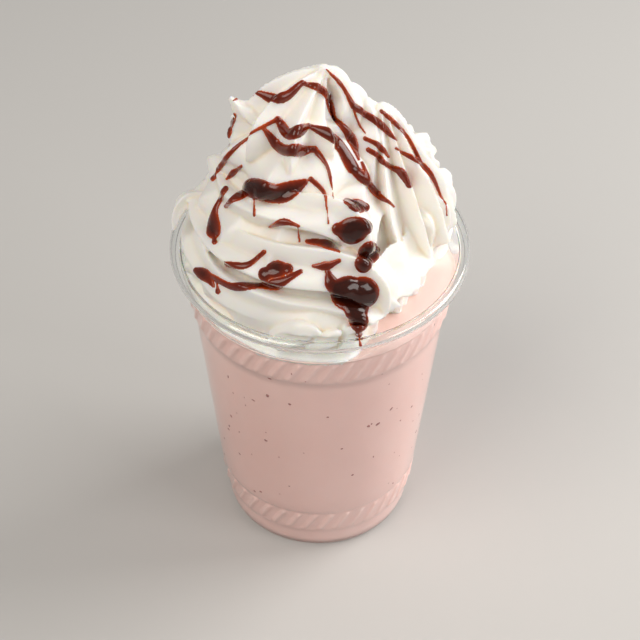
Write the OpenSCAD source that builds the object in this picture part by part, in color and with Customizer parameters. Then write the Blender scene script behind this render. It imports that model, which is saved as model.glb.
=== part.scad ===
// Strawberry milkshake in a clear tumbler, topped with a piped swirl of whipped cream.
// Millimetres, +Z up, origin at the centre of the foot on the table.

/* [Cup] */
// Height of the cup from the table to the top of the rolled rim
cup_h = 118; // [95:1:145]
// Outer diameter of the rolled rim
rim_d = 98; // [84:1:118]
// Outer diameter of the foot
foot_d = 64; // [52:1:72]
// Thickness of the wall and the floor
wall = 0.6; // [0.4:0.1:1.2]
// Radius of the round curl of the rim
curl_r = 1.9; // [1.4:0.1:2.6]
// Height of the round edge between the foot and the table
foot_round = 2.6; // [1.5:0.1:4]
// Height of the hollow under the floor
punt_h = 2.2; // [1:0.1:4]

/* [Bands] */
// Height of each ribbed band
band_h = 10.5; // [6:0.5:14]
// Height of the lower edge of the lower band above the table
low_band_z = 10; // [7:0.5:16]
// Drop from the top of the rim to the ledge over the upper band
ledge_drop = 13; // [10:0.5:18]
// Depth of the steps at the bands
band_step = 0.5; // [0.2:0.1:0.9]
// Width of the ledge between the upper band and the collar
ledge_w = 0.9; // [0.5:0.1:1.6]

/* [Milkshake] */
// Height of the milkshake over the ledge, under the cream
level_over_ledge = 0.5; // [0:0.1:2]
// Height of the bank of milkshake beside the cream, over that level
bank_h = 5; // [3:0.5:7]
// Width of the bank at its middle, from the wall to its inner edge
bank_w = 9; // [7:0.5:14]
// Direction of the bank's middle, from +X towards -Y
bank_turn = 32; // [0:1:90]

/* [Cream] */
// Height of the cream's peak over the rim
cream_h = 64; // [45:1:80]
// Distance of the cream from the outer edge of the rim, seen from above
cream_inset = 3; // [2:0.5:12]
// Rise of the piped rope in each turn
rope_pitch = 17; // [12:0.5:24]
// Depth of the groove between one turn and the next
rope_groove = 4.5; // [1:0.1:6]
// Number of ridges round the swirl
flute_n = 13; // [6:1:20]
// Depth of the valleys between the ridges
flute_depth = 3; // [0:0.1:5]
// Turn of the ridges from the bottom to the peak, in degrees
flute_twist = 70; // [0:5:180]
// Lean of the peak from the axis, towards +Y
peak_lean = 7; // [-12:1:12]
// Distance of the side dollop's middle from the axis
dollop_out = 22; // [10:1:26]
// Direction of the side dollop, from +X towards +Y
dollop_turn = 32; // [-180:1:180]
// Radius of the side dollop where it is widest
dollop_r = 23; // [10:1:24]
// Height of the side dollop's top over the rim
dollop_h = 41; // [25:1:60]
// Gap between the cream and the wall or the bank
cream_gap = 0.3; // [0.1:0.1:1]

/* [Hidden] */
$fn = 96;

rim_r = rim_d / 2;
foot_r = foot_d / 2;

// Heights of the steps on the wall
ledge_z = cup_h - ledge_drop;
high_band_z = ledge_z - band_h;
low_band_top = low_band_z + band_h;
curl_z = cup_h - curl_r;

// The wall is a straight taper from the foot to the neck under the curl
neck_r = rim_r - 2 * curl_r + wall;
collar_flare = 1.7;
collar_r = neck_r - collar_flare;
wall_foot_r = foot_r + 2 * band_step;
taper = (collar_r - ledge_w - wall_foot_r) / (ledge_z - foot_round);
function wall_r(z) = wall_foot_r + taper * (z - foot_round);

// A quarter round from the table to the side of the foot
foot_steps = 6;
foot_curve = [for (i = [0 : foot_steps])
    let (a = 90 * i / foot_steps)
    [foot_r - foot_round * (1 - sin(a)), foot_round * (1 - cos(a))]];

// The outside of the wall, from the table to the neck
step_rise = 0.6;
foot_step = 0.2;
outside = concat(foot_curve, [
    [wall_r(low_band_z) - band_step - foot_step, low_band_z - step_rise],
    [wall_r(low_band_z) - band_step, low_band_z],
    [wall_r(low_band_top) - band_step, low_band_top],
    [wall_r(low_band_top + step_rise), low_band_top + step_rise],
    [wall_r(high_band_z - step_rise), high_band_z - step_rise],
    [wall_r(high_band_z) + band_step, high_band_z],
    [wall_r(ledge_z) + band_step, ledge_z],
    [collar_r, ledge_z + step_rise],
    [neck_r, curl_z]]);

// The inside is the same line one wall further in
inside = [for (i = [1 : len(outside) - 1]) [outside[i][0] - wall, max(outside[i][1], wall)]];
neck_in = neck_r - wall;

// Radius of the inside at a height, read along the same line
function swap(points) = [for (p = points) [p[1], p[0]]];
function inside_r(z) = lookup(z, swap(inside));

// The floor stands over a hollow, with a ring round it that the cup stands on
ring_w = 1.2;
ring_r = foot_r - foot_round - ring_w;
punt_slope = 1.2;
floor_top = punt_h + wall;
floor_in = [[0, floor_top], [ring_r - punt_slope + wall, floor_top], [ring_r + wall, wall]];

// A length past everything in the cup
far = 4 * rim_r;

// Sizes of the contents
level_z = ledge_z + level_over_ledge;
bank_z = level_z + bank_h;
bank_in = inside_r(bank_z) - bank_w;
peak_z = cup_h + cream_h;
cream_r = rim_r - cream_inset;

// The rim is the wall's sheet, curled outwards and down to the neck
curl_turn = 270;
curl_steps = 12;
curl_centre = [neck_in + curl_r, curl_z];
function curl_arc(r, i) =
    let (a = 180 - curl_turn * i / curl_steps) curl_centre + r * [cos(a), sin(a)];

// One closed outline: under the floor, up the outside, round the curl and down the inside
cup_section = concat(
    [[0, punt_h], [ring_r - punt_slope, punt_h], [ring_r, 0]],
    outside,
    [for (i = [1 : curl_steps]) curl_arc(curl_r - wall, i)],
    [for (i = [curl_steps : -1 : 0]) curl_arc(curl_r, i)],
    [for (i = [len(inside) - 2 : -1 : 0]) inside[i]],
    [for (i = [len(floor_in) - 1 : -1 : 0]) floor_in[i]]);

module cup() {
    color([0.9, 0.93, 0.94, 0.35])
        rotate_extrude()
            polygon(cup_section);
}

// The inside of the cup up to a height, as one solid of revolution
module fill(top) {
    below = [for (p = inside) if (p[1] < top) p];
    rotate_extrude()
        polygon(concat(floor_in, below, [[inside_r(top), top], [0, top]]));
}

module milkshake() {
    color([0.93, 0.75, 0.71])
        difference() {
            fill(bank_z);
            rotate([0, 0, -bank_turn])
                translate([bank_in - far, -far / 2, level_z])
                    cube([far, far, 2 * bank_h]);
        }
}

// Half-widths of the swirl at shares of its height, from the cup's mouth to the peak
swirl_shape = [[0, 0.95], [0.15, 1], [0.3, 0.92], [0.45, 0.76], [0.6, 0.6],
    [0.76, 0.52], [0.88, 0.4], [0.95, 0.22], [1, 0]];
function swirl_width(t) = cream_r * lookup(t, swirl_shape);

// Over the bank the cream keeps back: all along it near the bank, and higher up only over its middle
bank_clear = 10;
notch_half = 20;
notch_flare = 0.6;

// Depth of the groove between turns, and of the valleys between ridges, at an angle and height
function turn_groove(a, z) =
    let (u = (z - level_z) / rope_pitch + a / 360, s = 2 * (u - floor(u)) - 1)
    rope_groove * (1 - sqrt(max(0, 1 - s * s)));
function valley(a, t) = flute_depth * abs(sin(flute_n * (a - flute_twist * t) / 2));

// Radius of the side dollop at a height, and its far side as seen from the axis at an angle
function dollop_width(z) =
    let (s = (z - cup_h) / dollop_h)
    s < 0 || s >= 1 ? 0 : dollop_r * sqrt(1 - pow(s, 3));
function dollop_reach(a, z) =
    let (across = dollop_out * sin(a - dollop_turn), w = dollop_width(z))
    cos(a - dollop_turn) > 0 && w > abs(across)
        ? dollop_out * cos(a - dollop_turn) + sqrt(w * w - across * across) : 0;

// Reach of the free cream, whose grooves fade out where it is slim, and of the cream beside the bank
slim_w = 12;
tip_w = 0.4;
side_on = 0.1;
function open_reach(a, z) =
    let (t = max(0, (z - cup_h) / cream_h), w = max(swirl_width(t), dollop_reach(a, z)))
    max(w - min(1, w / slim_w) * (turn_groove(a, z) + valley(a, t)), tip_w);
function bank_reach(a, z) =
    let (c = cos(a + bank_turn), off_middle = acos(c) - notch_half)
    c < side_on ? far
        : (bank_in - cream_gap) / c + (z < bank_z + bank_clear ? 0 : notch_flare * max(0, off_middle));

// In the cup the cream fills out to the wall, with shallower grooves, and above the rim it is free
seat_share = 0.5;
function seat_reach(a, z) =
    inside_r(min(z, curl_z)) - cream_gap - seat_share * (turn_groove(a, z) + valley(a, 0));
function cream_reach(a, z) =
    min(bank_reach(a, z), z > cup_h + cream_gap ? open_reach(a, z) : seat_reach(a, z));

// Rings and sides of the cream's surface, and the height of its closing point
cream_rings = 50;
cream_sides = 65;
tip = 0.2;
module whipped_cream() {
    heights = [for (i = [0 : cream_rings - 1]) level_z + (peak_z - level_z) * i / (cream_rings - 1)];
    points = concat(
        [for (z = heights, j = [0 : cream_sides - 1])
            let (a = 360 * j / cream_sides, t = max(0, (z - cup_h) / cream_h), r = cream_reach(a, z))
            [r * cos(a), r * sin(a) + peak_lean * t, z]],
        [[0, 0, level_z], [0, peak_lean, peak_z + tip]]);
    bottom = cream_rings * cream_sides;
    last = (cream_rings - 1) * cream_sides;
    faces = concat(
        [for (i = [0 : cream_rings - 2], j = [0 : cream_sides - 1])
            let (k = (j + 1) % cream_sides, p = i * cream_sides)
            each [[p + j, p + k + cream_sides, p + k], [p + j, p + j + cream_sides, p + k + cream_sides]]],
        [for (j = [0 : cream_sides - 1]) [bottom, j, (j + 1) % cream_sides]],
        [for (j = [0 : cream_sides - 1]) [bottom + 1, last + (j + 1) % cream_sides, last + j]]);
    color([1, 0.97, 0.92])
        polyhedron(points, faces);
}

cup();
milkshake();
whipped_cream();
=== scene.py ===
"""Strawberry milkshake in a clear cup, with piped whipped cream and chocolate sauce.

Metres, +Z up, origin at the centre of the foot. Shapes are worked out in millimetres and scaled by MM.
"""
import math

import bmesh
import bpy
import numpy as np
from mathutils import Matrix, Vector
from mathutils.bvhtree import BVHTree


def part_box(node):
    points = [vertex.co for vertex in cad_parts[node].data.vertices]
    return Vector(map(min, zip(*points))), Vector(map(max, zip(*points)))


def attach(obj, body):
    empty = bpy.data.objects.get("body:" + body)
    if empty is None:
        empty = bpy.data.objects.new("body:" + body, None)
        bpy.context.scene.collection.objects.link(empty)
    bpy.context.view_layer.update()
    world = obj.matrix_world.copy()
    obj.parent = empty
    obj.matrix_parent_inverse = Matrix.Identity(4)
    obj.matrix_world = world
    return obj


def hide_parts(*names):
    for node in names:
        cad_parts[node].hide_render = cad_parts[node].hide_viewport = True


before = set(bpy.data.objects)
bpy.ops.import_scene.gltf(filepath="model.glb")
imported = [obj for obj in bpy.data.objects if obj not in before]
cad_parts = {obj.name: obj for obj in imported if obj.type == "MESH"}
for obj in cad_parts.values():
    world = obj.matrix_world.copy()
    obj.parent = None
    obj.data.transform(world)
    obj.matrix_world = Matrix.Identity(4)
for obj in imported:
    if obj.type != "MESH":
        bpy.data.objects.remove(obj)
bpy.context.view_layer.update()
MM = 0.001
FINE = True


def in_mm(node):
    """A node's lowest and highest corners, in millimetres."""
    low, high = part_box(node)
    return [c / MM for c in low], [c / MM for c in high]


CUP_LOW, CUP_HIGH = in_mm("cup")
SHAKE_LOW, SHAKE_HIGH = in_mm("milkshake")
CREAM_LOW, CREAM_HIGH = in_mm("whipped_cream")
CUP_H = CUP_HIGH[2]
RIM_R = CUP_HIGH[0]
BANK_LEVEL = SHAKE_HIGH[2]
LEVEL = CREAM_LOW[2]
BANK_TURN = math.radians(-32)
BANK_W = 10.0
PEAK = CREAM_HIGH[2]


# ---------------------------------------------------------------- mesh and material helpers

def shade_smooth(obj):
    obj.data.polygons.foreach_set("use_smooth", [True] * len(obj.data.polygons))


def new_object(name, verts, faces):
    """A smooth-shaded object from points in millimetres."""
    mesh = bpy.data.meshes.new(name)
    mesh.from_pydata([tuple(c * MM for c in v) for v in verts], [], [tuple(f) for f in faces])
    mesh.update()
    obj = bpy.data.objects.new(name, mesh)
    bpy.context.collection.objects.link(obj)
    shade_smooth(obj)
    return obj


def apply_modifiers(obj):
    """Replaces an object's mesh by what its modifiers make of it."""
    graph = bpy.context.evaluated_depsgraph_get()
    mesh = bpy.data.meshes.new_from_object(obj.evaluated_get(graph))
    obj.modifiers.clear()
    obj.data = mesh


def new_material(name):
    mat = bpy.data.materials.new(name)
    mat.use_nodes = True
    return mat, mat.node_tree.nodes, mat.node_tree.links, mat.node_tree.nodes["Principled BSDF"]


def noise(nodes, links, scale, detail=3.0, rough=0.5):
    """A noise texture in object space. Its scale counts waves to a metre."""
    coords = nodes.new("ShaderNodeTexCoord").outputs["Object"]
    tex = nodes.new("ShaderNodeTexNoise")
    tex.inputs["Scale"].default_value = scale
    tex.inputs["Detail"].default_value = detail
    tex.inputs["Roughness"].default_value = rough
    links.new(coords, tex.inputs["Vector"])
    return tex.outputs["Fac"]


def ramp(nodes, links, fac, stops):
    """A colour ramp, with stops of (place, colour)."""
    node = nodes.new("ShaderNodeValToRGB")
    items = node.color_ramp.elements
    while len(items) < len(stops):
        items.new(0.5)
    for item, (place, colour) in zip(items, stops):
        item.position = place
        item.color = (*colour, 1.0)
    links.new(fac, node.inputs["Fac"])
    return node.outputs["Color"]


def bump(nodes, links, shader, height, strength, distance):
    node = nodes.new("ShaderNodeBump")
    node.inputs["Strength"].default_value = strength
    node.inputs["Distance"].default_value = distance
    links.new(height, node.inputs["Height"])
    links.new(node.outputs["Normal"], shader.inputs["Normal"])


# ---------------------------------------------------------------- materials

def make_pet():
    """Clear moulded plastic, with faint waviness. Light from the lamps goes straight through it."""
    mat, nodes, links, shader = new_material("clear_cup")
    shader.inputs["Base Color"].default_value = (0.97, 0.985, 0.985, 1)
    shader.inputs["Roughness"].default_value = 0.04
    shader.inputs["IOR"].default_value = 1.5
    shader.inputs["Transmission Weight"].default_value = 1.0
    bump(nodes, links, shader, noise(nodes, links, 60, 2), 0.03, 0.0003)
    clear = nodes.new("ShaderNodeBsdfTransparent")
    clear.inputs["Color"].default_value = (0.95, 0.96, 0.96, 1)
    mix = nodes.new("ShaderNodeMixShader")
    links.new(nodes.new("ShaderNodeLightPath").outputs["Is Shadow Ray"], mix.inputs["Fac"])
    links.new(shader.outputs["BSDF"], mix.inputs[1])
    links.new(clear.outputs["BSDF"], mix.inputs[2])
    links.new(mix.outputs["Shader"], nodes["Material Output"].inputs["Surface"])
    return mat


def make_shake():
    """Pale strawberry milk, with softly mixed tones and a bright wet surface."""
    mat, nodes, links, shader = new_material("milkshake")
    mix = noise(nodes, links, 22, 3, 0.55)
    colour = ramp(nodes, links, mix, [(0.3, (0.85, 0.60, 0.56)), (0.7, (0.89, 0.66, 0.62))])
    links.new(colour, shader.inputs["Base Color"])
    shader.inputs["Roughness"].default_value = 0.32
    shader.inputs["Subsurface Weight"].default_value = 0.2
    shader.inputs["Subsurface Radius"].default_value = (1.0, 0.6, 0.5)
    shader.inputs["Subsurface Scale"].default_value = 0.002
    bump(nodes, links, shader, noise(nodes, links, 900, 2), 0.12, 0.0002)
    return mat


def make_fleck():
    """Bits of strawberry seen through a film of milk."""
    mat, nodes, links, shader = new_material("fleck")
    colour = ramp(nodes, links, noise(nodes, links, 500, 2),
                  [(0.35, (0.33, 0.11, 0.10)), (0.65, (0.55, 0.25, 0.23))])
    links.new(colour, shader.inputs["Base Color"])
    shader.inputs["Roughness"].default_value = 0.4
    return mat


def make_cream():
    """Whipped cream: satin, slightly translucent, with painted shade in its valleys that makes them warmer
    and darker.
    """
    mat, nodes, links, shader = new_material("cream")
    # painted shade: the deeper a point lies in a fold, the yellower and darker the cream is made. This is
    # added to its own tone, which varies at random with the noise
    hollow = nodes.new("ShaderNodeAttribute")
    hollow.attribute_name = "hollow"
    tone_and_crease_shade = nodes.new("ShaderNodeMath")
    tone_and_crease_shade.operation = "MULTIPLY_ADD"
    links.new(noise(nodes, links, 35, 3), tone_and_crease_shade.inputs[0])
    tone_and_crease_shade.inputs[1].default_value = 0.25
    links.new(hollow.outputs["Fac"], tone_and_crease_shade.inputs[2])
    tone = ramp(nodes, links, tone_and_crease_shade.outputs["Value"],
                [(0.1, (0.95, 0.93, 0.89)), (0.4, (0.94, 0.89, 0.80)), (0.9, (0.88, 0.76, 0.58))])
    links.new(tone, shader.inputs["Base Color"])
    shader.inputs["Roughness"].default_value = 0.38
    shader.inputs["Subsurface Weight"].default_value = 0.5
    shader.inputs["Subsurface Radius"].default_value = (1.0, 0.72, 0.42)
    shader.inputs["Subsurface Scale"].default_value = 0.004
    shader.inputs["Sheen Weight"].default_value = 0.1
    bump(nodes, links, shader, noise(nodes, links, 700, 4, 0.6), 0.08, 0.0003)
    return mat


def make_sauce():
    """Chocolate sauce: near black where it is thick, red-brown where light gets through its thin edges."""
    mat, nodes, links, shader = new_material("sauce")
    depth = nodes.new("ShaderNodeAttribute")
    depth.attribute_name = "thickness"
    mixed = nodes.new("ShaderNodeMath")
    mixed.operation = "MULTIPLY_ADD"
    links.new(noise(nodes, links, 160, 2), mixed.inputs[0])
    mixed.inputs[1].default_value = 0.3
    links.new(depth.outputs["Fac"], mixed.inputs[2])
    colour = ramp(nodes, links, mixed.outputs["Value"],
                  [(0.2, (0.62, 0.09, 0.008)), (0.52, (0.20, 0.018, 0.003)), (0.95, (0.035, 0.005, 0.002))])
    links.new(colour, shader.inputs["Base Color"])
    shader.inputs["Roughness"].default_value = 0.13
    shader.inputs["Specular IOR Level"].default_value = 0.35
    shader.inputs["Coat Weight"].default_value = 0.15
    shader.inputs["Coat Roughness"].default_value = 0.04
    shader.inputs["Subsurface Weight"].default_value = 0.25
    shader.inputs["Subsurface Radius"].default_value = (1.0, 0.2, 0.05)
    shader.inputs["Subsurface Scale"].default_value = 0.001
    bump(nodes, links, shader, noise(nodes, links, 300, 2), 0.05, 0.0003)
    return mat


def make_floor():
    mat, nodes, links, shader = new_material("floor")
    shader.inputs["Base Color"].default_value = (0.56, 0.555, 0.545, 1)
    shader.inputs["Roughness"].default_value = 0.6
    return mat


PET = make_pet()
SHAKE = make_shake()
FLECK = make_fleck()
CREAM = make_cream()
SAUCE = make_sauce()


# ---------------------------------------------------------------- cup

WALL = 0.6
FOOT_R = 32.0
FOOT_ROUND = 2.6
PUNT_H = 2.2
FLOOR_RINGS = (3.0, 20.0)
BAND_H = 10.5
LOW_BAND_Z = 10.0
LEDGE_DROP = 13.0
LOW_BAND = (LOW_BAND_Z, LOW_BAND_Z + BAND_H)
HIGH_BAND = (CUP_H - (LEDGE_DROP + BAND_H), CUP_H - LEDGE_DROP)
BAND_STEP = 0.5
FOOT_STEP = 0.2
STEP_RISE = 0.6
LEDGE_W = 0.9
CURL_R = 1.9
CURL_Z = CUP_H - CURL_R
NECK_R = RIM_R - 2 * CURL_R + WALL
COLLAR_FLARE = 1.7
COLLAR_R = NECK_R - COLLAR_FLARE
WALL_FOOT_R = FOOT_R + 2 * BAND_STEP
TAPER = (COLLAR_R - LEDGE_W - WALL_FOOT_R) / (HIGH_BAND[1] - FOOT_ROUND)
RIB_SLANT = math.radians(27)
RIB_H = 0.6
RIB_SHARPNESS = 0.3
LOW_RIBS = 38
HIGH_RIBS = 50
CURL_STEPS = 16


def wall_r(z):
    """Radius of the outside of the plain wall at a height."""
    return WALL_FOOT_R + TAPER * (z - FOOT_ROUND)


def ease(x, low, high):
    """Rises smoothly from 0 at low to 1 at high."""
    t = np.clip((x - low) / (high - low), 0, 1)
    return t * t * (3 - 2 * t)


def rib_relief(angle, z, band, count):
    """Height of the slanted ribs of a band at an angle and height."""
    mid = (band[0] + band[1]) / 2
    r = wall_r(mid)
    phase = count * (angle - (z - mid) * math.tan(RIB_SLANT) / r) / (2 * math.pi)
    wave = np.abs(phase - np.round(phase)) * 2
    ridge = np.exp(-(wave / RIB_SHARPNESS) ** 2)
    inside = ease(z, band[0] + 0.5, band[0] + 1.5) * (1 - ease(z, band[1] - 1.5, band[1] - 0.5))
    return RIB_H * ridge * inside


def outer_radius(angle, z):
    """Radius of the cup's outside over the foot, with its steps and ribs."""
    r = wall_r(z)
    low, high = LOW_BAND, HIGH_BAND
    over_foot = ease(z, low[0] - STEP_RISE, low[0])
    in_low = over_foot - ease(z, low[1], low[1] + STEP_RISE)
    up = ease(z, high[1], high[1] + STEP_RISE)
    in_high = ease(z, high[0] - STEP_RISE, high[0]) - up
    r = r - (BAND_STEP + FOOT_STEP) * (1 - over_foot) - BAND_STEP * in_low
    r = r + BAND_STEP * in_high
    collar = COLLAR_R + (NECK_R - COLLAR_R) * (z - high[1]) / (CURL_Z - high[1])
    r = r * (1 - up) + collar * up
    return r + rib_relief(angle, z, low, LOW_RIBS) + rib_relief(angle, z, high, HIGH_RIBS)


def foot_outline():
    """The outside from the hollow under the floor to the side of the foot, as (radius, height)."""
    ring = FOOT_R - FOOT_ROUND - 1.2
    side = FOOT_R
    points = [(ring - 1.2, PUNT_H), (ring - 0.9, 1.0), (ring - 0.3, 0.15), (ring + 0.3, 0.0)]
    for i in range(9):
        a = math.pi / 2 * i / 8
        points.append((side - FOOT_ROUND * (1 - math.sin(a)), FOOT_ROUND * (1 - math.cos(a))))
    return points


def revolve(name, rings, last_hub):
    """A closed surface from rings of points, each an array of (x, y, z).

    The first ring is closed by a fan at its own height, and the last by a fan to the axis at last_hub.
    """
    count = len(rings[0])
    verts = [tuple(p) for ring in rings for p in ring]
    faces = []
    for i in range(len(rings) - 1):
        for j in range(count):
            k = (j + 1) % count
            faces.append((i * count + j, i * count + k, (i + 1) * count + k, (i + 1) * count + j))
    hub = len(verts)
    last = hub - count
    verts += [(0, 0, rings[0][0][2]), (0, 0, last_hub)]
    faces += [(hub, (j + 1) % count, j) for j in range(count)]
    faces += [(hub + 1, last + j, last + (j + 1) % count) for j in range(count)]
    obj = new_object(name, verts, faces)
    bm = bmesh.new()
    bm.from_mesh(obj.data)
    bmesh.ops.recalc_face_normals(bm, faces=bm.faces)
    bm.to_mesh(obj.data)
    bm.free()
    shade_smooth(obj)
    return obj


def ring_at(radius, z, angles):
    r = np.broadcast_to(radius, angles.shape)
    return np.stack([r * np.cos(angles), r * np.sin(angles), np.full(angles.shape, z)], axis=1)


def make_cup():
    """One closed sheet: under the floor, up the outside, round the curl, and down the inside."""
    sides = 480 if FINE else 360
    angles = np.linspace(0, 2 * math.pi, sides, endpoint=False)
    rings = [ring_at(r, PUNT_H, angles) for r in FLOOR_RINGS]
    rings += [ring_at(r, z, angles) for r, z in foot_outline()]
    heights = list(np.arange(3.6, LOW_BAND[0] - 0.8, 1.5))
    heights += list(np.arange(LOW_BAND[0] - 0.6, LOW_BAND[1] + 0.8, 0.4))
    heights += list(np.arange(LOW_BAND[1] + 2, HIGH_BAND[0] - 1.2, 4.0))
    heights += list(np.arange(HIGH_BAND[0] - 0.8, HIGH_BAND[1] + 0.9, 0.4))
    heights += list(np.arange(HIGH_BAND[1] + 1.6, CURL_Z, 1.5))
    outside = [ring_at(outer_radius(angles, z), z, angles) for z in heights]
    rings += outside
    centre = RIM_R - CURL_R
    turns = [math.radians(180 - 270 * i / CURL_STEPS) for i in range(CURL_STEPS + 1)]
    for radius, order in ((CURL_R - WALL, turns), (CURL_R, turns[::-1])):
        rings += [ring_at(centre + radius * math.cos(a), CURL_Z + radius * math.sin(a), angles)
                  for a in order]
    for ring in reversed(outside[::2]):
        inside = ring.copy()
        scale = 1 - WALL / np.hypot(inside[:, 0], inside[:, 1])
        inside[:, :2] *= scale[:, None]
        rings.append(inside)
    floor_line = [(FOOT_R - WALL, FOOT_ROUND + 0.3), (FOOT_R - 1.6, 1.2), (FOOT_R - FOOT_ROUND, WALL),
                  (FOOT_R - FOOT_ROUND - 0.9, WALL), (FOOT_R - FOOT_ROUND - 1.8, PUNT_H + WALL)]
    floor_line += [(r, PUNT_H + WALL) for r in reversed(FLOOR_RINGS)]
    rings += [ring_at(r, z, angles) for r, z in floor_line]
    cup = revolve("cup_sheet", rings, PUNT_H + WALL)
    cup.data.materials.append(PET)
    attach(cup, "root")
    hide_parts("cup")
    return cup


# ---------------------------------------------------------------- milkshake

SHAKE_FLOOR = 2.6
DISH = 0.15
# The drink's edge over its level, as (distance in from the wall, height)
MENISCUS = [(0.3, 0.6), (0.6, 0.5), (0.9, 0.15), (1.8, -0.1), (4.0, -DISH)]
FLECKS = 140


def fill_radius(angle, z):
    """Radius of the drink: half a wall inside the sheet, so no air shows between them."""
    return outer_radius(angle, z) - WALL * 0.5


def bareness(angles):
    """1 where no cream covers the drink beside the wall, falling to 0 round both sides."""
    away = np.abs((angles - BANK_TURN + math.pi) % (2 * math.pi) - math.pi)
    return 1 - ease(away, math.radians(22), math.radians(48))


def level_at(angles):
    """Level of the drink round the cup: it stands higher where no cream covers it."""
    return LEVEL + (BANK_LEVEL - LEVEL) * bareness(angles)


def level_ring(radius, heights, angles):
    """A ring whose height changes round it."""
    ring = ring_at(radius, 0.0, angles)
    ring[:, 2] = heights
    return ring


def make_shake_body():
    """The drink up to its level, with a low meniscus at the wall and soft swells on top."""
    sides = 360
    angles = np.linspace(0, 2 * math.pi, sides, endpoint=False)
    rings = [ring_at(r, z, angles) for r, z in
             [(FLOOR_RINGS[0], SHAKE_FLOOR), (FLOOR_RINGS[1], SHAKE_FLOOR),
              (FOOT_R - FOOT_ROUND - 1.0, 2.5), (FOOT_R - FOOT_ROUND - 0.6, 0.4),
              (FOOT_R - 1.7, 0.8), (FOOT_R - 0.6, 2.0)]]
    heights = list(np.arange(3.6, LOW_BAND[0] - 0.8, 1.5))
    heights += list(np.arange(LOW_BAND[0] - 0.6, LOW_BAND[1] + 0.8, 0.6))
    heights += list(np.arange(LOW_BAND[1] + 2, HIGH_BAND[0] - 1.2, 4.0))
    heights += list(np.arange(HIGH_BAND[0] - 0.8, HIGH_BAND[1] + 0.9, 0.6))
    rings += [ring_at(fill_radius(angles, z), z, angles) for z in heights]
    level = level_at(angles)
    ledge = HIGH_BAND[1] + STEP_RISE
    rings.append(ring_at(fill_radius(angles, ledge), ledge, angles))
    for inset, rise in MENISCUS:
        rings.append(level_ring(fill_radius(angles, level) - inset + 0.3, level + rise, angles))
    for r in (36, 30, 24, 16, 8, 3):
        share = ease(r, 20, 36)
        heights = (LEVEL - DISH) * (1 - share) + (level - DISH) * share
        rings.append(level_ring(float(r), heights, angles))
    body = revolve("milkshake_body", rings, LEVEL - DISH)
    body.data.materials.append(SHAKE)
    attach(body, "root")
    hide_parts("milkshake")


def make_flecks():
    """Bits of strawberry at the drink's side, just breaking its surface, as one joined mesh."""
    rng = np.random.default_rng(11)
    bm = bmesh.new()
    for _ in range(FLECKS):
        angle = rng.uniform(0, 2 * math.pi)
        z = rng.uniform(LOW_BAND[1] + 2, HIGH_BAND[1] - 2)
        size = 0.3 + 0.65 * rng.random() ** 2.5
        r = float(fill_radius(np.array([angle]), z)[0]) + WALL * 0.15 - size * 0.12
        place = Matrix.Translation(Vector((r * math.cos(angle), r * math.sin(angle), z)) * MM)
        lie = place @ Matrix.Rotation(angle, 4, "Z") @ Matrix.Rotation(rng.uniform(0, math.pi), 4, "X")
        shape = lie @ Matrix.Diagonal(Vector((0.25, 1.0, rng.uniform(0.45, 0.9), 1.0)))
        bit = bmesh.ops.create_icosphere(bm, subdivisions=2, radius=size * MM, matrix=shape)
        centre = place.translation
        for v in bit["verts"]:
            v.co = centre + (v.co - centre) * rng.uniform(0.75, 1.2)
    mesh = bpy.data.meshes.new("strawberry_flecks")
    bm.to_mesh(mesh)
    bm.free()
    flecks = bpy.data.objects.new("strawberry_flecks", mesh)
    bpy.context.collection.objects.link(flecks)
    shade_smooth(flecks)
    mesh.materials.append(FLECK)
    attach(flecks, "root")


# ---------------------------------------------------------------- whipped cream

def spline(points, count):
    """Catmull-Rom points through a list of rows."""
    p = np.array(points, float)
    p = np.vstack([2 * p[0] - p[1], p, 2 * p[-1] - p[-2]])
    rows = []
    spans = len(p) - 3
    for i in range(count):
        t = spans * i / (count - 1)
        k = min(int(t), spans - 1)
        u = t - k
        a, b, c, d = p[k:k + 4]
        rows.append(0.5 * (2 * b + (c - a) * u + (2 * a - 5 * b + 4 * c - d) * u ** 2
                           + (3 * b - a - 3 * c + d) * u ** 3))
    return np.array(rows)


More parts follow.
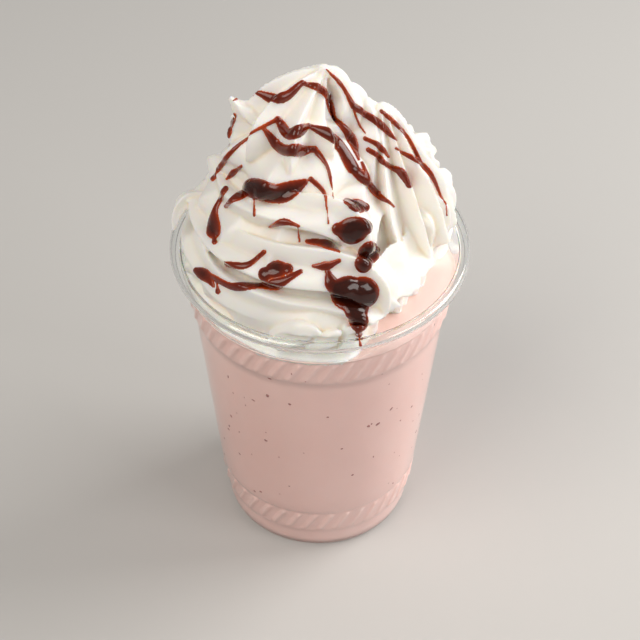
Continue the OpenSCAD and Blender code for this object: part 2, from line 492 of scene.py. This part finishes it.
def fold(spine, flutes, depth, twist, turn=0.0, uneven=1.0, seed=0):
    """One piped mass of cream, as points and faces.

    spine is a list of (x, y, z, radius). Sharp ridges run along it, with smooth valleys between,
    unevenly spaced. On an upright spine, turn is the azimuth of one ridge at its start, and twist is how far
    the ridges turn up to its end.
    """
    rng = np.random.default_rng(seed)
    rows = spline(spine, 72)
    centre, radius = rows[:, :3], np.maximum(rows[:, 3], 0.15)
    sides = 168
    angle = np.linspace(0, 2 * math.pi, sides, endpoint=False)
    bend = rng.uniform(-0.3, 0.3, 2) * uneven
    lift = rng.uniform(0, 2 * math.pi, 3)
    warp = angle + bend[0] * np.sin(angle) + 0.5 * bend[1] * np.sin(2 * angle)
    swell = 1 + uneven * (0.04 * np.sin(angle + lift[0]) + 0.04 * np.sin(3 * angle + lift[1]))
    tangent = np.gradient(centre, axis=0)
    tangent /= np.linalg.norm(tangent, axis=1)[:, None]
    side = np.array((1.0, 0.0, 0.0)) if abs(tangent[0][0]) < 0.9 else np.array((0.0, 0.0, 1.0))
    pulse = 1 + 0.06 * uneven * np.sin(np.linspace(0, 5 * math.pi, len(rows)) + lift[0])
    verts = []
    for i in range(len(rows)):
        side = side - tangent[i] * side.dot(tangent[i])
        side /= np.linalg.norm(side)
        up = np.cross(tangent[i], side)
        share = i / (len(rows) - 1)
        phase = flutes * (warp - math.radians(turn + twist * share)) / 2
        valley = np.abs(np.sin(phase))
        valley = valley * (1 + 0.25 * uneven * np.sin(2 * angle + lift[2]))
        r = radius[i] * pulse[i] * swell * (1 - depth * valley)
        offset = np.outer(r * np.cos(angle), side) + np.outer(r * np.sin(angle), up)
        verts.append(centre[i] + offset)
    verts = np.vstack(verts)
    faces = []
    for i in range(len(rows) - 1):
        for j in range(sides):
            k = (j + 1) % sides
            faces.append((i * sides + j, i * sides + k, (i + 1) * sides + k, (i + 1) * sides + j))
    faces.append(tuple(reversed(range(sides))))
    faces.append(tuple(range((len(rows) - 1) * sides, len(rows) * sides)))
    return verts, faces


def rope_path(turn_from, turn_to, reach, level, climb, thick):
    """A rope's spine round the swirl, between two azimuths in degrees, thinner at both ends."""
    path = []
    for i in range(9):
        t = i / 8
        a = math.radians(turn_from + (turn_to - turn_from) * t)
        full = 1 - 0.75 * abs(2 * t - 1) ** 4
        path.append((-3 + reach * math.cos(a), 5 + reach * math.sin(a), level + climb * t, thick * full))
    return path


# Each mass of cream: its spine of (x, y, z, radius), and how it is fluted
FOLDS = [
    # the bottom layer, pressed out against the wall
    dict(spine=[(-2, 3, 104, 45), (-2, 3, 108, 46), (-2, 3, 114, 45), (-2, 4, 120, 40), (-2, 6, 127, 33),
                (-1, 6, 134, 24)], flutes=17, depth=0.05, twist=30, seed=1),
    # the dollop on the right and behind
    dict(spine=[(22, 2, 104, 18), (23, 3, 113, 21.5), (22.5, 5, 122, 22.5), (21, 7, 131, 21),
                 (20, 8, 140, 17.5),
                (19.5, 9, 149, 13), (19, 10, 158, 8.5), (19, 10, 164, 4.2), (19, 10, 167, 0.8)],
         flutes=11, depth=0.34, twist=-14, turn=-92, uneven=0.8, seed=4),
    # its ruffles on the far side
    dict(spine=[(28, 9, 110, 10), (28, 10, 118, 16), (28, 10, 124, 18.5), (26, 10, 129, 15),
                 (24, 10, 134, 7)],
         flutes=11, depth=0.24, twist=20, turn=20, seed=14),
    dict(spine=[(24, 13, 132, 8), (24, 13, 138, 13.5), (23, 13, 143, 13), (21, 12, 148, 7)],
         flutes=9, depth=0.28, twist=-20, turn=0, seed=15),
    # a small dollop between it and the peak
    dict(spine=[(13, 4, 138, 11), (13, 6, 150, 10), (14, 9, 159, 7.5), (14, 10, 165, 4.5),
                 (14, 10, 169, 0.8)],
         flutes=6, depth=0.3, twist=20, turn=-70, seed=12),
    # the middle of the main swirl, in two layers
    dict(spine=[(-5, 1, 116, 30), (-5, 1, 126, 34), (-6, 0, 136, 32), (-6, 0, 143, 28), (-6, 1, 149, 20)],
         flutes=10, depth=0.12, twist=26, turn=-80, seed=2),
    dict(spine=[(-10, 2, 138, 13), (-9, 2, 144, 22.5), (-8, 3, 150, 25), (-7, 3, 156, 23), (-6, 4, 162, 14)],
         flutes=8, depth=0.2, twist=20, turn=-86, uneven=0.5, seed=5),
    # the upper layer and the peak
    dict(spine=[(-9, 2, 155, 9), (-9, 2, 159, 17), (-9, 2, 164, 18.5), (-8, 4, 169, 14.5), (-5, 6, 174, 9.5),
                (-1, 8, 179, 4.5), (1, 8, 182, 1.8), (2, 8, 183, 0.4)],
         flutes=8, depth=0.42, twist=26, turn=-98, uneven=0.35, seed=7),
    # small lobes on the right of the peak
    dict(spine=[(1, 9, 181, 1.5), (4, 9, 178, 3.6), (7, 8, 172, 4.6), (8, 7, 166, 5.5), (8, 6, 158, 3)],
         flutes=4, depth=0.25, twist=30, seed=9),
    dict(spine=[(6, 10, 172, 3), (10, 10, 171, 3.6), (12, 9, 168, 2.8), (12, 8, 163, 1)],
         flutes=4, depth=0.2, twist=20, seed=10),
    # the pointed tip on the left
    dict(spine=[(-14, 3, 162, 8), (-20, 3, 166, 5.5), (-25, 3, 170, 3), (-28, 3, 174, 0.8)],
         flutes=4, depth=0.35, twist=40, seed=3),
    # the bulge under it
    dict(spine=[(-18, 6, 150, 6), (-22, 5, 154, 7.5), (-23, 4, 159, 5.5), (-21, 4, 164, 2)],
         flutes=5, depth=0.25, twist=40, seed=31),
    # three turns of rope across the front, each ending in a leaf on the right
    dict(spine=[(-24, 16, 141, 5), (-28, 4, 142, 7), (-25, -9, 144, 7.5), (-17, -18, 147, 8),
                 (-6, -22, 149, 7.5),
                (3, -24, 150, 7.5), (9, -25, 148, 7.5), (13, -27, 143, 6), (13, -29, 138, 2)],
         flutes=4, depth=0.42, twist=150, turn=20, seed=21),
    dict(spine=[(-34, 12, 130, 5), (-36, 0, 131, 7), (-33, -12, 132, 7.5), (-25, -23, 134, 8),
                 (-11, -30, 135, 8.5),
                (3, -32, 136, 9), (11, -32, 134, 9), (17, -33, 129, 7.5), (19, -35, 123, 4.5),
                (17, -37, 118, 1)],
         flutes=4, depth=0.38, twist=110, turn=50, seed=22),
    dict(spine=[(-38, 14, 119, 5), (-39, -2, 119, 6.5), (-34, -16, 120, 7), (-26, -26, 121, 8),
                 (-11, -33, 122, 8),
                (4, -35, 123, 8), (14, -35, 121, 8.5), (20, -34, 117, 7.5), (23, -34, 111, 3)],
         flutes=5, depth=0.36, twist=120, turn=10, seed=23),
    # turns of rope round the back
    dict(spine=rope_path(28, 178, 33, 118, 3, 8.5), flutes=5, depth=0.36, twist=150, seed=51),
    dict(spine=rope_path(38, 186, 28, 131, 3, 8.5), flutes=4, depth=0.4, twist=140, seed=52),
    dict(spine=rope_path(60, 190, 21, 144, 4, 8), flutes=4, depth=0.4, twist=130, seed=53),
    dict(spine=rope_path(70, 200, 14, 157, 4, 7), flutes=4, depth=0.4, twist=120, seed=54),
    # a flange curled over the rim on the left
    dict(spine=[(-35, 8, 127, 5.5), (-40, 5, 131, 5), (-44, 2, 132, 3.6), (-46, -1, 130, 2.4),
                 (-47, -5, 126, 0.8)],
         flutes=3, depth=0.42, twist=90, seed=41),
    # small folds pressed between the front lobes and the rim
    dict(spine=[(-14, -41, 112, 4.5), (-9, -43, 117, 5), (-3, -44, 120, 3.4), (1, -45, 119, 0.8)],
         flutes=3, depth=0.35, twist=60, seed=42),
    dict(spine=[(-2, -42, 112, 4.5), (2, -44, 117, 4), (5, -45, 120, 2.6), (7, -45, 121, 0.6)],
         flutes=3, depth=0.35, twist=-60, seed=43),
    dict(spine=[(8, -41, 112, 4.5), (10, -43, 117, 4), (13, -44, 120, 2.6), (15, -44, 121, 0.6)],
         flutes=3, depth=0.35, twist=60, seed=44),
    # ragged ends over the drink on the right
    dict(spine=[(33, -6, 116, 5), (37, -8, 115, 4), (40, -9, 113.5, 2), (41.5, -9, 113, 0.5)],
         flutes=4, depth=0.35, twist=50, seed=45),
    dict(spine=[(34, 0, 117, 6), (39, -1, 117, 4), (42.5, -1, 115.5, 1.6), (43.5, -1, 115, 0.5)],
         flutes=4, depth=0.35, twist=50, seed=46),
]


def cream_limit(angle, z):
    """How far out cream can be: into the wall, past the rim over it, and short of the bare bank of drink."""
    in_wall = outer_radius(0.0, np.minimum(z, CURL_Z)) - WALL * 0.5
    over = in_wall - (WALL * 0.5 + 0.1) * ease(z, CURL_Z - 2, CURL_Z) + np.clip(z - CUP_H - 0.8, 0, 4) * 1.2
    ragged = 1.2 * np.sin(19 * angle) + 0.8 * np.sin(43 * angle + 1)
    return over - (BANK_W + ragged) * bareness(angle) * (1 - ease(z, BANK_LEVEL + 5, BANK_LEVEL + 22))


def mark_hollows(obj):
    """Stores how deep each point lies in a fold: how far out smoothing would carry it, in millimetres. The
    cream's painted shade in its creases is drawn from it.
    """
    smoothed = obj.copy()
    smoothed.data = obj.data.copy()
    bpy.context.collection.objects.link(smoothed)
    ease_out = smoothed.modifiers.new("smooth", "SMOOTH")
    ease_out.factor = 0.8
    ease_out.iterations = 30
    apply_modifiers(smoothed)
    count = len(obj.data.vertices)
    here, there, normals = np.empty(count * 3), np.empty(count * 3), np.empty(count * 3)
    obj.data.vertices.foreach_get("co", here)
    smoothed.data.vertices.foreach_get("co", there)
    obj.data.vertices.foreach_get("normal", normals)
    depth = ((there - here) / MM * normals).reshape(-1, 3).sum(axis=1)
    bpy.data.objects.remove(smoothed)
    # this depth is the mask for the painted shade in the cream's creases
    layer = obj.data.attributes.new("hollow", "FLOAT", "POINT")
    layer.data.foreach_set("value", np.clip(depth, 0, 1))


CREAM_TRIANGLES = 185000


def make_cream_body():
    verts, faces = [], []
    for item in FOLDS:
        v, f = fold(**item)
        base = sum(len(x) for x in verts)
        verts.append(v)
        faces += [tuple(base + k for k in face) for face in f]
    obj = new_object("whipped_cream_swirl", np.vstack(verts), faces)
    remesh = obj.modifiers.new("remesh", "REMESH")
    remesh.mode = "VOXEL"
    remesh.voxel_size = (0.5 if FINE else 0.7) * MM
    apply_modifiers(obj)
    smooth = obj.modifiers.new("smooth", "SMOOTH")
    smooth.factor = 0.5
    smooth.iterations = 1
    apply_modifiers(obj)
    thin_out = obj.modifiers.new("thin_out", "DECIMATE")
    thin_out.ratio = min(1, CREAM_TRIANGLES / (2 * len(obj.data.polygons)))
    apply_modifiers(obj)
    points = np.empty(len(obj.data.vertices) * 3)
    obj.data.vertices.foreach_get("co", points)
    points = points.reshape(-1, 3) / MM
    reach = np.hypot(points[:, 0], points[:, 1])
    limit = cream_limit(np.arctan2(points[:, 1], points[:, 0]), points[:, 2])
    points[:, :2] *= np.minimum(1, limit / np.maximum(reach, 0.01))[:, None]
    points[:, 2] = np.minimum(points[:, 2], PEAK + 0.4)
    obj.data.vertices.foreach_set("co", (points * MM).ravel())
    shade_smooth(obj)
    mark_hollows(obj)
    obj.data.materials.clear()
    obj.data.materials.append(CREAM)
    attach(obj, "root")
    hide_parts("whipped_cream")
    return obj


# ---------------------------------------------------------------- chocolate sauce

# The sauce is poured down a slope of 45 degrees, once from the front and once from the back. A place on that
# slope is (across, up): across is a share of the rim's radius, and up runs from 0 at the rim to 1 at the peak
# in front. Behind, the peak is at about 0.87, as it stands back from the middle.
HALF = math.sqrt(0.5)
RIM_UP = (CUP_H - RIM_R) * HALF
PEAK_BACK = 8
PEAK_UP = (PEAK + PEAK_BACK) * HALF
POUR_HEIGHT = 200
THREAD_W = 1.2
# Thickness of a bead: its height for a half-width of 1 mm, how that grows with the width, and its roundness
BEAD_H = 0.66
BEAD_GROWTH = 0.62
BEAD_ROUND = 0.6
THINNEST = 0.02
FULL_DEPTH = 1.6
SINK = 0.25
LONGEST_STEP = 5.0
MARGIN = 6

# Each thread: its start, its end, how far it bows to its left as a share of its length, and its half-width in
# millimetres at the start, the middle and the end
THREADS = [
    # off the peak and down its right
    ((0.03, 0.99), (0.20, 0.87), 0.06, (0.4, 0.7, 0.8)),
    ((0.20, 0.87), (0.48, 0.76), 0.05, (0.9, 1.2, 0.5)),
    ((0.20, 0.86), (0.28, 0.78), -0.05, (0.4, 0.5, 0.3)),
    ((0.38, 0.86), (0.66, 0.68), 0.08, (0.6, 0.8, 0.5)),
    ((0.48, 0.73), (0.82, 0.54), 0.14, (0.5, 0.9, 0.4)),
    # in swags across the cap
    ((-0.55, 0.88), (-0.43, 0.90), 0.15, (0.3, 0.6, 0.4)),
    ((-0.40, 0.91), (-0.12, 0.94), -0.26, (0.8, 1.6, 0.7)),
    ((-0.12, 0.94), (0.08, 0.83), 0.22, (0.7, 1.2, 0.8)),
    ((0.08, 0.83), (0.24, 0.68), 0.10, (0.8, 1.4, 0.5)),
    ((-0.55, 0.83), (-0.60, 0.75), -0.10, (0.8, 1.5, 0.5)),
    # round the foot of the cap, from one loop
    ((-0.27, 0.81), (-0.70, 0.62), -0.06, (0.6, 0.6, 0.9)),
    ((-0.27, 0.81), (-0.08, 0.79), -0.45, (0.9, 1.7, 0.9)),
    ((-0.08, 0.79), (0.20, 0.65), 0.14, (0.8, 1.7, 1.6)),
    ((0.20, 0.65), (0.38, 0.57), -0.04, (1.6, 1.2, 0.5)),
    ((-0.35, 0.77), (-0.04, 0.71), -0.24, (0.7, 1.7, 1.0)),
    ((-0.04, 0.71), (0.07, 0.57), 0.10, (0.9, 0.7, 0.3)),
    # short curls down the right of the cap
    ((0.28, 0.76), (0.43, 0.70), 0.08, (0.7, 0.9, 0.6)),
    ((0.30, 0.72), (0.41, 0.67), 0.08, (0.7, 1.0, 0.6)),
    ((0.42, 0.67), (0.57, 0.60), 0.14, (0.8, 1.1, 1.2)),
    ((0.26, 0.67), (0.47, 0.52), -0.12, (0.6, 1.0, 0.5)),
    # round the top rope
    ((-0.60, 0.61), (-0.50, 0.65), 0.05, (0.5, 0.9, 0.5)),
    ((-0.60, 0.57), (-0.68, 0.42), -0.12, (0.8, 1.0, 2.1)),
    ((-0.60, 0.51), (-0.43, 0.57), 0.00, (0.7, 1.2, 1.6)),
    ((-0.43, 0.57), (-0.10, 0.59), -0.18, (2.4, 2.8, 1.1)),
    ((-0.06, 0.60), (0.04, 0.49), 0.16, (0.9, 0.6, 0.4)),
    ((-0.32, 0.43), (-0.13, 0.43), 0.14, (0.4, 0.9, 0.5)),
    # round the middle rope
    ((-0.60, 0.30), (-0.35, 0.34), -0.20, (0.7, 1.0, 0.7)),
    ((-0.80, 0.28), (-0.68, 0.22), 0.10, (1.1, 1.7, 0.5)),
    ((-0.70, 0.26), (-0.40, 0.22), -0.12, (0.7, 1.1, 1.0)),
    ((-0.40, 0.22), (-0.12, 0.27), -0.10, (1.0, 1.4, 0.7)),
    ((-0.34, 0.26), (-0.20, 0.28), 0.10, (1.9, 2.2, 1.7)),
    # flicks and blobs on the leaves, ending in the biggest blob
    ((0.17, 0.52), (0.28, 0.51), -0.08, (1.5, 2.1, 1.6)),
    ((0.11, 0.42), (0.27, 0.43), -0.10, (2.0, 3.1, 2.7)),
    ((0.27, 0.30), (0.36, 0.36), 0.12, (2.2, 2.7, 1.4)),
    ((-0.08, 0.38), (0.12, 0.34), 0.10, (0.7, 1.4, 0.5)),
    ((-0.04, 0.29), (0.12, 0.31), -0.10, (0.7, 1.2, 0.7)),
    ((0.05, 0.27), (0.14, 0.20), -0.15, (1.0, 1.8, 3.0)),
    ((0.14, 0.20), (0.28, 0.20), -0.10, (3.2, 4.6, 3.6)),
    ((0.22, 0.17), (0.25, 0.09), 0.00, (3.6, 2.8, 2.3)),
]

# Places where a drip runs down: where it leaves, how far down it runs, and the half-width of its drop
DRIPS = [
    ((-0.42, 0.55), 0.08, 0.7), ((0.04, 0.50), 0.06, 0.5), ((-0.14, 0.43), 0.05, 0.6),
    ((-0.66, 0.25), 0.05, 0.9), ((0.24, 0.10), 0.05, 1.3), ((0.25, 0.05), 0.04, 0.6),
    ((0.07, 0.58), 0.05, 0.4), ((0.82, 0.55), 0.05, 0.5), ((-0.68, 0.41), 0.03, 1.2),
]


def on_slope(place):
    """A place on the pour's slope, in millimetres."""
    return np.array((place[0] * RIM_R, RIM_UP + place[1] * (PEAK_UP - RIM_UP)))


def thread_stroke(start, end, bow, widths):
    """Three points of a bowed thread, each (across, up, half-width) in millimetres."""
    a, b = on_slope(start), on_slope(end)
    along = b - a
    middle = (a + b) / 2 + bow * np.array((-along[1], along[0]))
    return [(*p, w * THREAD_W) for p, w in zip((a, middle, b), widths)]


def drip_stroke(start, run, drop):
    """A drip: thin where it runs, round where it hangs."""
    a = on_slope(start)
    b = on_slope((start[0] + 0.01, start[1] - run))
    return [(*a, drop * 0.7), (*((a + b) / 2), drop * 0.55), (*b, drop)]


def pour_point(across, up, side):
    """A point out beyond the cream on the line along which the sauce falls. side is -1 in front, 1 behind."""
    return Vector((across, side * (POUR_HEIGHT - up) * HALF, (up + POUR_HEIGHT) * HALF)) * MM


def back_threads():
    """The drizzle goes on behind, swinging from side to side as it comes down from the peak."""
    rng = np.random.default_rng(17)
    threads = []
    last = (0.05, 0.80)
    for k in range(9):
        reach = 0.2 + 0.065 * k
        swing = reach if k % 2 else -reach
        place = (swing + rng.uniform(-0.06, 0.06), last[1] - rng.uniform(0.03, 0.1))
        middle = rng.uniform(0.8, 1.7)
        threads.append((last, place, rng.uniform(-0.14, 0.14), (0.6, middle, 0.5 + 0.5 * rng.random())))
        last = place
    return threads


def sauce_field(grid_u, grid_v, strokes, rng):
    """Thickness of the sauce over a grid: round-backed beads that run together where they meet."""
    total = np.zeros(grid_u.shape)
    for stroke in strokes:
        rows = spline(stroke, 6 * (len(stroke) - 1) + 1)
        wobble = 1 + 0.12 * np.sin(np.arange(len(rows)) * rng.uniform(0.5, 0.9) + rng.uniform(0, 6))
        widths = np.maximum(rows[:, 2] * wobble, 0.16)
        best = np.zeros(grid_u.shape)
        for i in range(len(rows) - 1):
            a, b = rows[i, :2], rows[i + 1, :2]
            reach = max(widths[i], widths[i + 1])
            near = ((grid_u > min(a[0], b[0]) - reach) & (grid_u < max(a[0], b[0]) + reach)
                    & (grid_v > min(a[1], b[1]) - reach) & (grid_v < max(a[1], b[1]) + reach))
            if not near.any():
                continue
            u, v = grid_u[near], grid_v[near]
            along = b - a
            share = np.clip(((u - a[0]) * along[0] + (v - a[1]) * along[1]) / max(along @ along, 1e-9), 0, 1)
            off = np.hypot(u - a[0] - share * along[0], v - a[1] - share * along[1])
            width = widths[i] + (widths[i + 1] - widths[i]) * share
            inside = np.clip(1 - (off / width) ** 2, 0, 1)
            thick = BEAD_H * width ** BEAD_GROWTH * inside ** BEAD_ROUND
            best[near] = np.maximum(best[near], thick)
        total += best ** 3
    return np.cbrt(total)


def evened(field, known, rounds):
    """A field of rows over a grid, each averaged with its neighbours where they are known."""
    for _ in range(rounds):
        total, count = field * known[..., None], known.astype(float)
        for axis in (0, 1):
            for step in (-1, 1):
                near = np.roll(known, step, axis)
                total = total + np.roll(field, step, axis) * near[..., None]
                count = count + near
        field = np.where(known[..., None], total / np.maximum(count, 1)[..., None], 0)
    return field


def drape_sauce(name, strokes, surface, side, seed):
    """Sauce as a closed skin: its top stands over the surface, and its underside is sunk in it."""
    cell = 0.22 if FINE else 0.3
    pour = Vector((0, -side * HALF, -HALF))
    points = np.array([p for stroke in strokes for p in stroke], float)
    low = points[:, :2].min(axis=0) - MARGIN
    high = points[:, :2].max(axis=0) + MARGIN
    us = np.arange(low[0], high[0], cell)
    vs = np.arange(low[1], high[1], cell)
    grid_u, grid_v = np.meshgrid(us, vs)
    thick = sauce_field(grid_u, grid_v, strokes, np.random.default_rng(seed))
    known = np.zeros(thick.shape, bool)
    facing, fall = np.zeros((*thick.shape, 3)), np.zeros((*thick.shape, 1))
    for i, j in zip(*np.nonzero(thick > THINNEST)):
        place, normal, _, far = surface.ray_cast(pour_point(grid_u[i, j], grid_v[i, j], side), pour)
        if place is None:
            continue
        known[i, j] = True
        facing[i, j] = -normal if normal.dot(pour) > 0 else normal
        fall[i, j] = far / MM
    # its back is evener than the cream, and fills the hollows that it runs across
    facing = evened(facing, known, 8)
    settled = np.minimum(fall, evened(fall, known, 12))
    index, top, under, depth, thickness = {}, [], [], [], []
    for i, j in zip(*np.nonzero(known)):
        start = pour_point(grid_u[i, j], grid_v[i, j], side) / MM
        normal = Vector(facing[i, j]).normalized()
        index[i, j] = len(top)
        top.append(start + pour * settled[i, j, 0] + normal * thick[i, j])
        under.append(start + pour * fall[i, j, 0] - normal * SINK)
        depth.append(settled[i, j, 0])
        thickness.append(thick[i, j])
    faces, edges = [], {}
    count = len(top)
    for (i, j), a in index.items():
        corners = [index.get(k) for k in ((i, j + 1), (i + 1, j + 1), (i + 1, j))]
        if None in corners:
            continue
        b, c, d = corners
        heights = [depth[k] for k in (a, b, c, d)]
        if max(heights) - min(heights) > LONGEST_STEP:
            continue
        faces.append((a, b, c, d))
        faces.append((d + count, c + count, b + count, a + count))
        for edge in ((a, b), (b, c), (c, d), (d, a)):
            edges[edge] = True
    for a, b in edges:
        if (b, a) not in edges:
            faces.append((b, a, a + count, b + count))
    if side > 0:
        faces = [tuple(reversed(f)) for f in faces]
    obj = new_object(name, top + under, faces)
    layer = obj.data.attributes.new("thickness", "FLOAT", "POINT")
    layer.data.foreach_set("value", [t / FULL_DEPTH for t in thickness] + [0.0] * count)
    bm = bmesh.new()
    bm.from_mesh(obj.data)
    bmesh.ops.delete(bm, geom=[v for v in bm.verts if not v.link_faces], context="VERTS")
    bm.to_mesh(obj.data)
    bm.free()
    smooth = obj.modifiers.new("smooth", "SMOOTH")
    smooth.factor = 0.5
    smooth.iterations = 4
    apply_modifiers(obj)
    obj.data.materials.clear()
    obj.data.materials.append(SAUCE)
    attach(obj, "root")


def surface_of(*objects):
    """One search tree over the faces of some objects."""
    verts, faces = [], []
    for obj in objects:
        base = len(verts)
        verts += [v.co.copy() for v in obj.data.vertices]
        faces += [[base + k for k in p.vertices] for p in obj.data.polygons]
    return BVHTree.FromPolygons(verts, faces)


# ---------------------------------------------------------------- stage, light and camera

def make_stage():
    half = 2.5
    mesh = bpy.data.meshes.new("floor")
    corners = [(-half, -half, 0), (half, -half, 0), (half, half, 0), (-half, half, 0)]
    mesh.from_pydata(corners, [], [(0, 1, 2, 3)])
    floor = bpy.data.objects.new("floor", mesh)
    bpy.context.collection.objects.link(floor)
    floor.data.materials.append(make_floor())


def area_light(name, place, target, size, power, colour):
    data = bpy.data.lights.new(name, "AREA")
    data.shape = "RECTANGLE"
    data.size, data.size_y = size
    data.energy = power
    data.color = colour
    lamp = bpy.data.objects.new(name, data)
    bpy.context.collection.objects.link(lamp)
    lamp.location = place
    lamp.rotation_euler = (Vector(target) - Vector(place)).to_track_quat("-Z", "Y").to_euler()


def make_lights():
    bpy.context.scene.view_settings.view_transform = "Standard"
    world = bpy.data.worlds.new("studio")
    bpy.context.scene.world = world
    world.use_nodes = True
    world.node_tree.nodes["Background"].inputs["Color"].default_value = (1, 0.975, 0.94, 1)
    world.node_tree.nodes["Background"].inputs["Strength"].default_value = 0.3
    aim = (0, 0, 0.11)
    area_light("key", (0.62, 0.22, 0.62), aim, (0.5, 0.5), 5.2, (1, 0.97, 0.93))
    area_light("front", (0.75, -0.4, 0.45), aim, (0.4, 0.4), 2.3, (1, 0.97, 0.94))
    area_light("fill", (-0.45, -0.4, 0.85), aim, (0.6, 0.6), 4.6, (1, 0.93, 0.85))


def make_camera():
    """Looks down on the cup from the front."""
    pitch = math.radians(44.58)
    roll = math.radians(0.54)
    distance = 0.656
    aim = Vector((0.0002, 0, 0.0816))
    data = bpy.data.cameras.new("camera")
    data.sensor_width = 36
    data.lens = 108.96
    camera = bpy.data.objects.new("camera", data)
    bpy.context.collection.objects.link(camera)
    back = Vector((0, -math.cos(pitch), math.sin(pitch)))
    camera.location = aim + back * distance
    turn = Matrix.Rotation(math.pi / 2 - pitch, 4, "X") @ Matrix.Rotation(roll, 4, "Z")
    camera.matrix_world = Matrix.Translation(camera.location) @ turn
    bpy.context.scene.camera = camera


make_camera()
make_stage()
make_lights()
cup = make_cup()
make_shake_body()
make_flecks()
cream = make_cream_body()
poured_on = surface_of(cream, cup)
front = [thread_stroke(*t) for t in THREADS] + [drip_stroke(*d) for d in DRIPS]
drape_sauce("sauce_front", front, poured_on, -1, seed=5)
drape_sauce("sauce_back", [thread_stroke(*t) for t in back_threads()], poured_on, 1, seed=6)
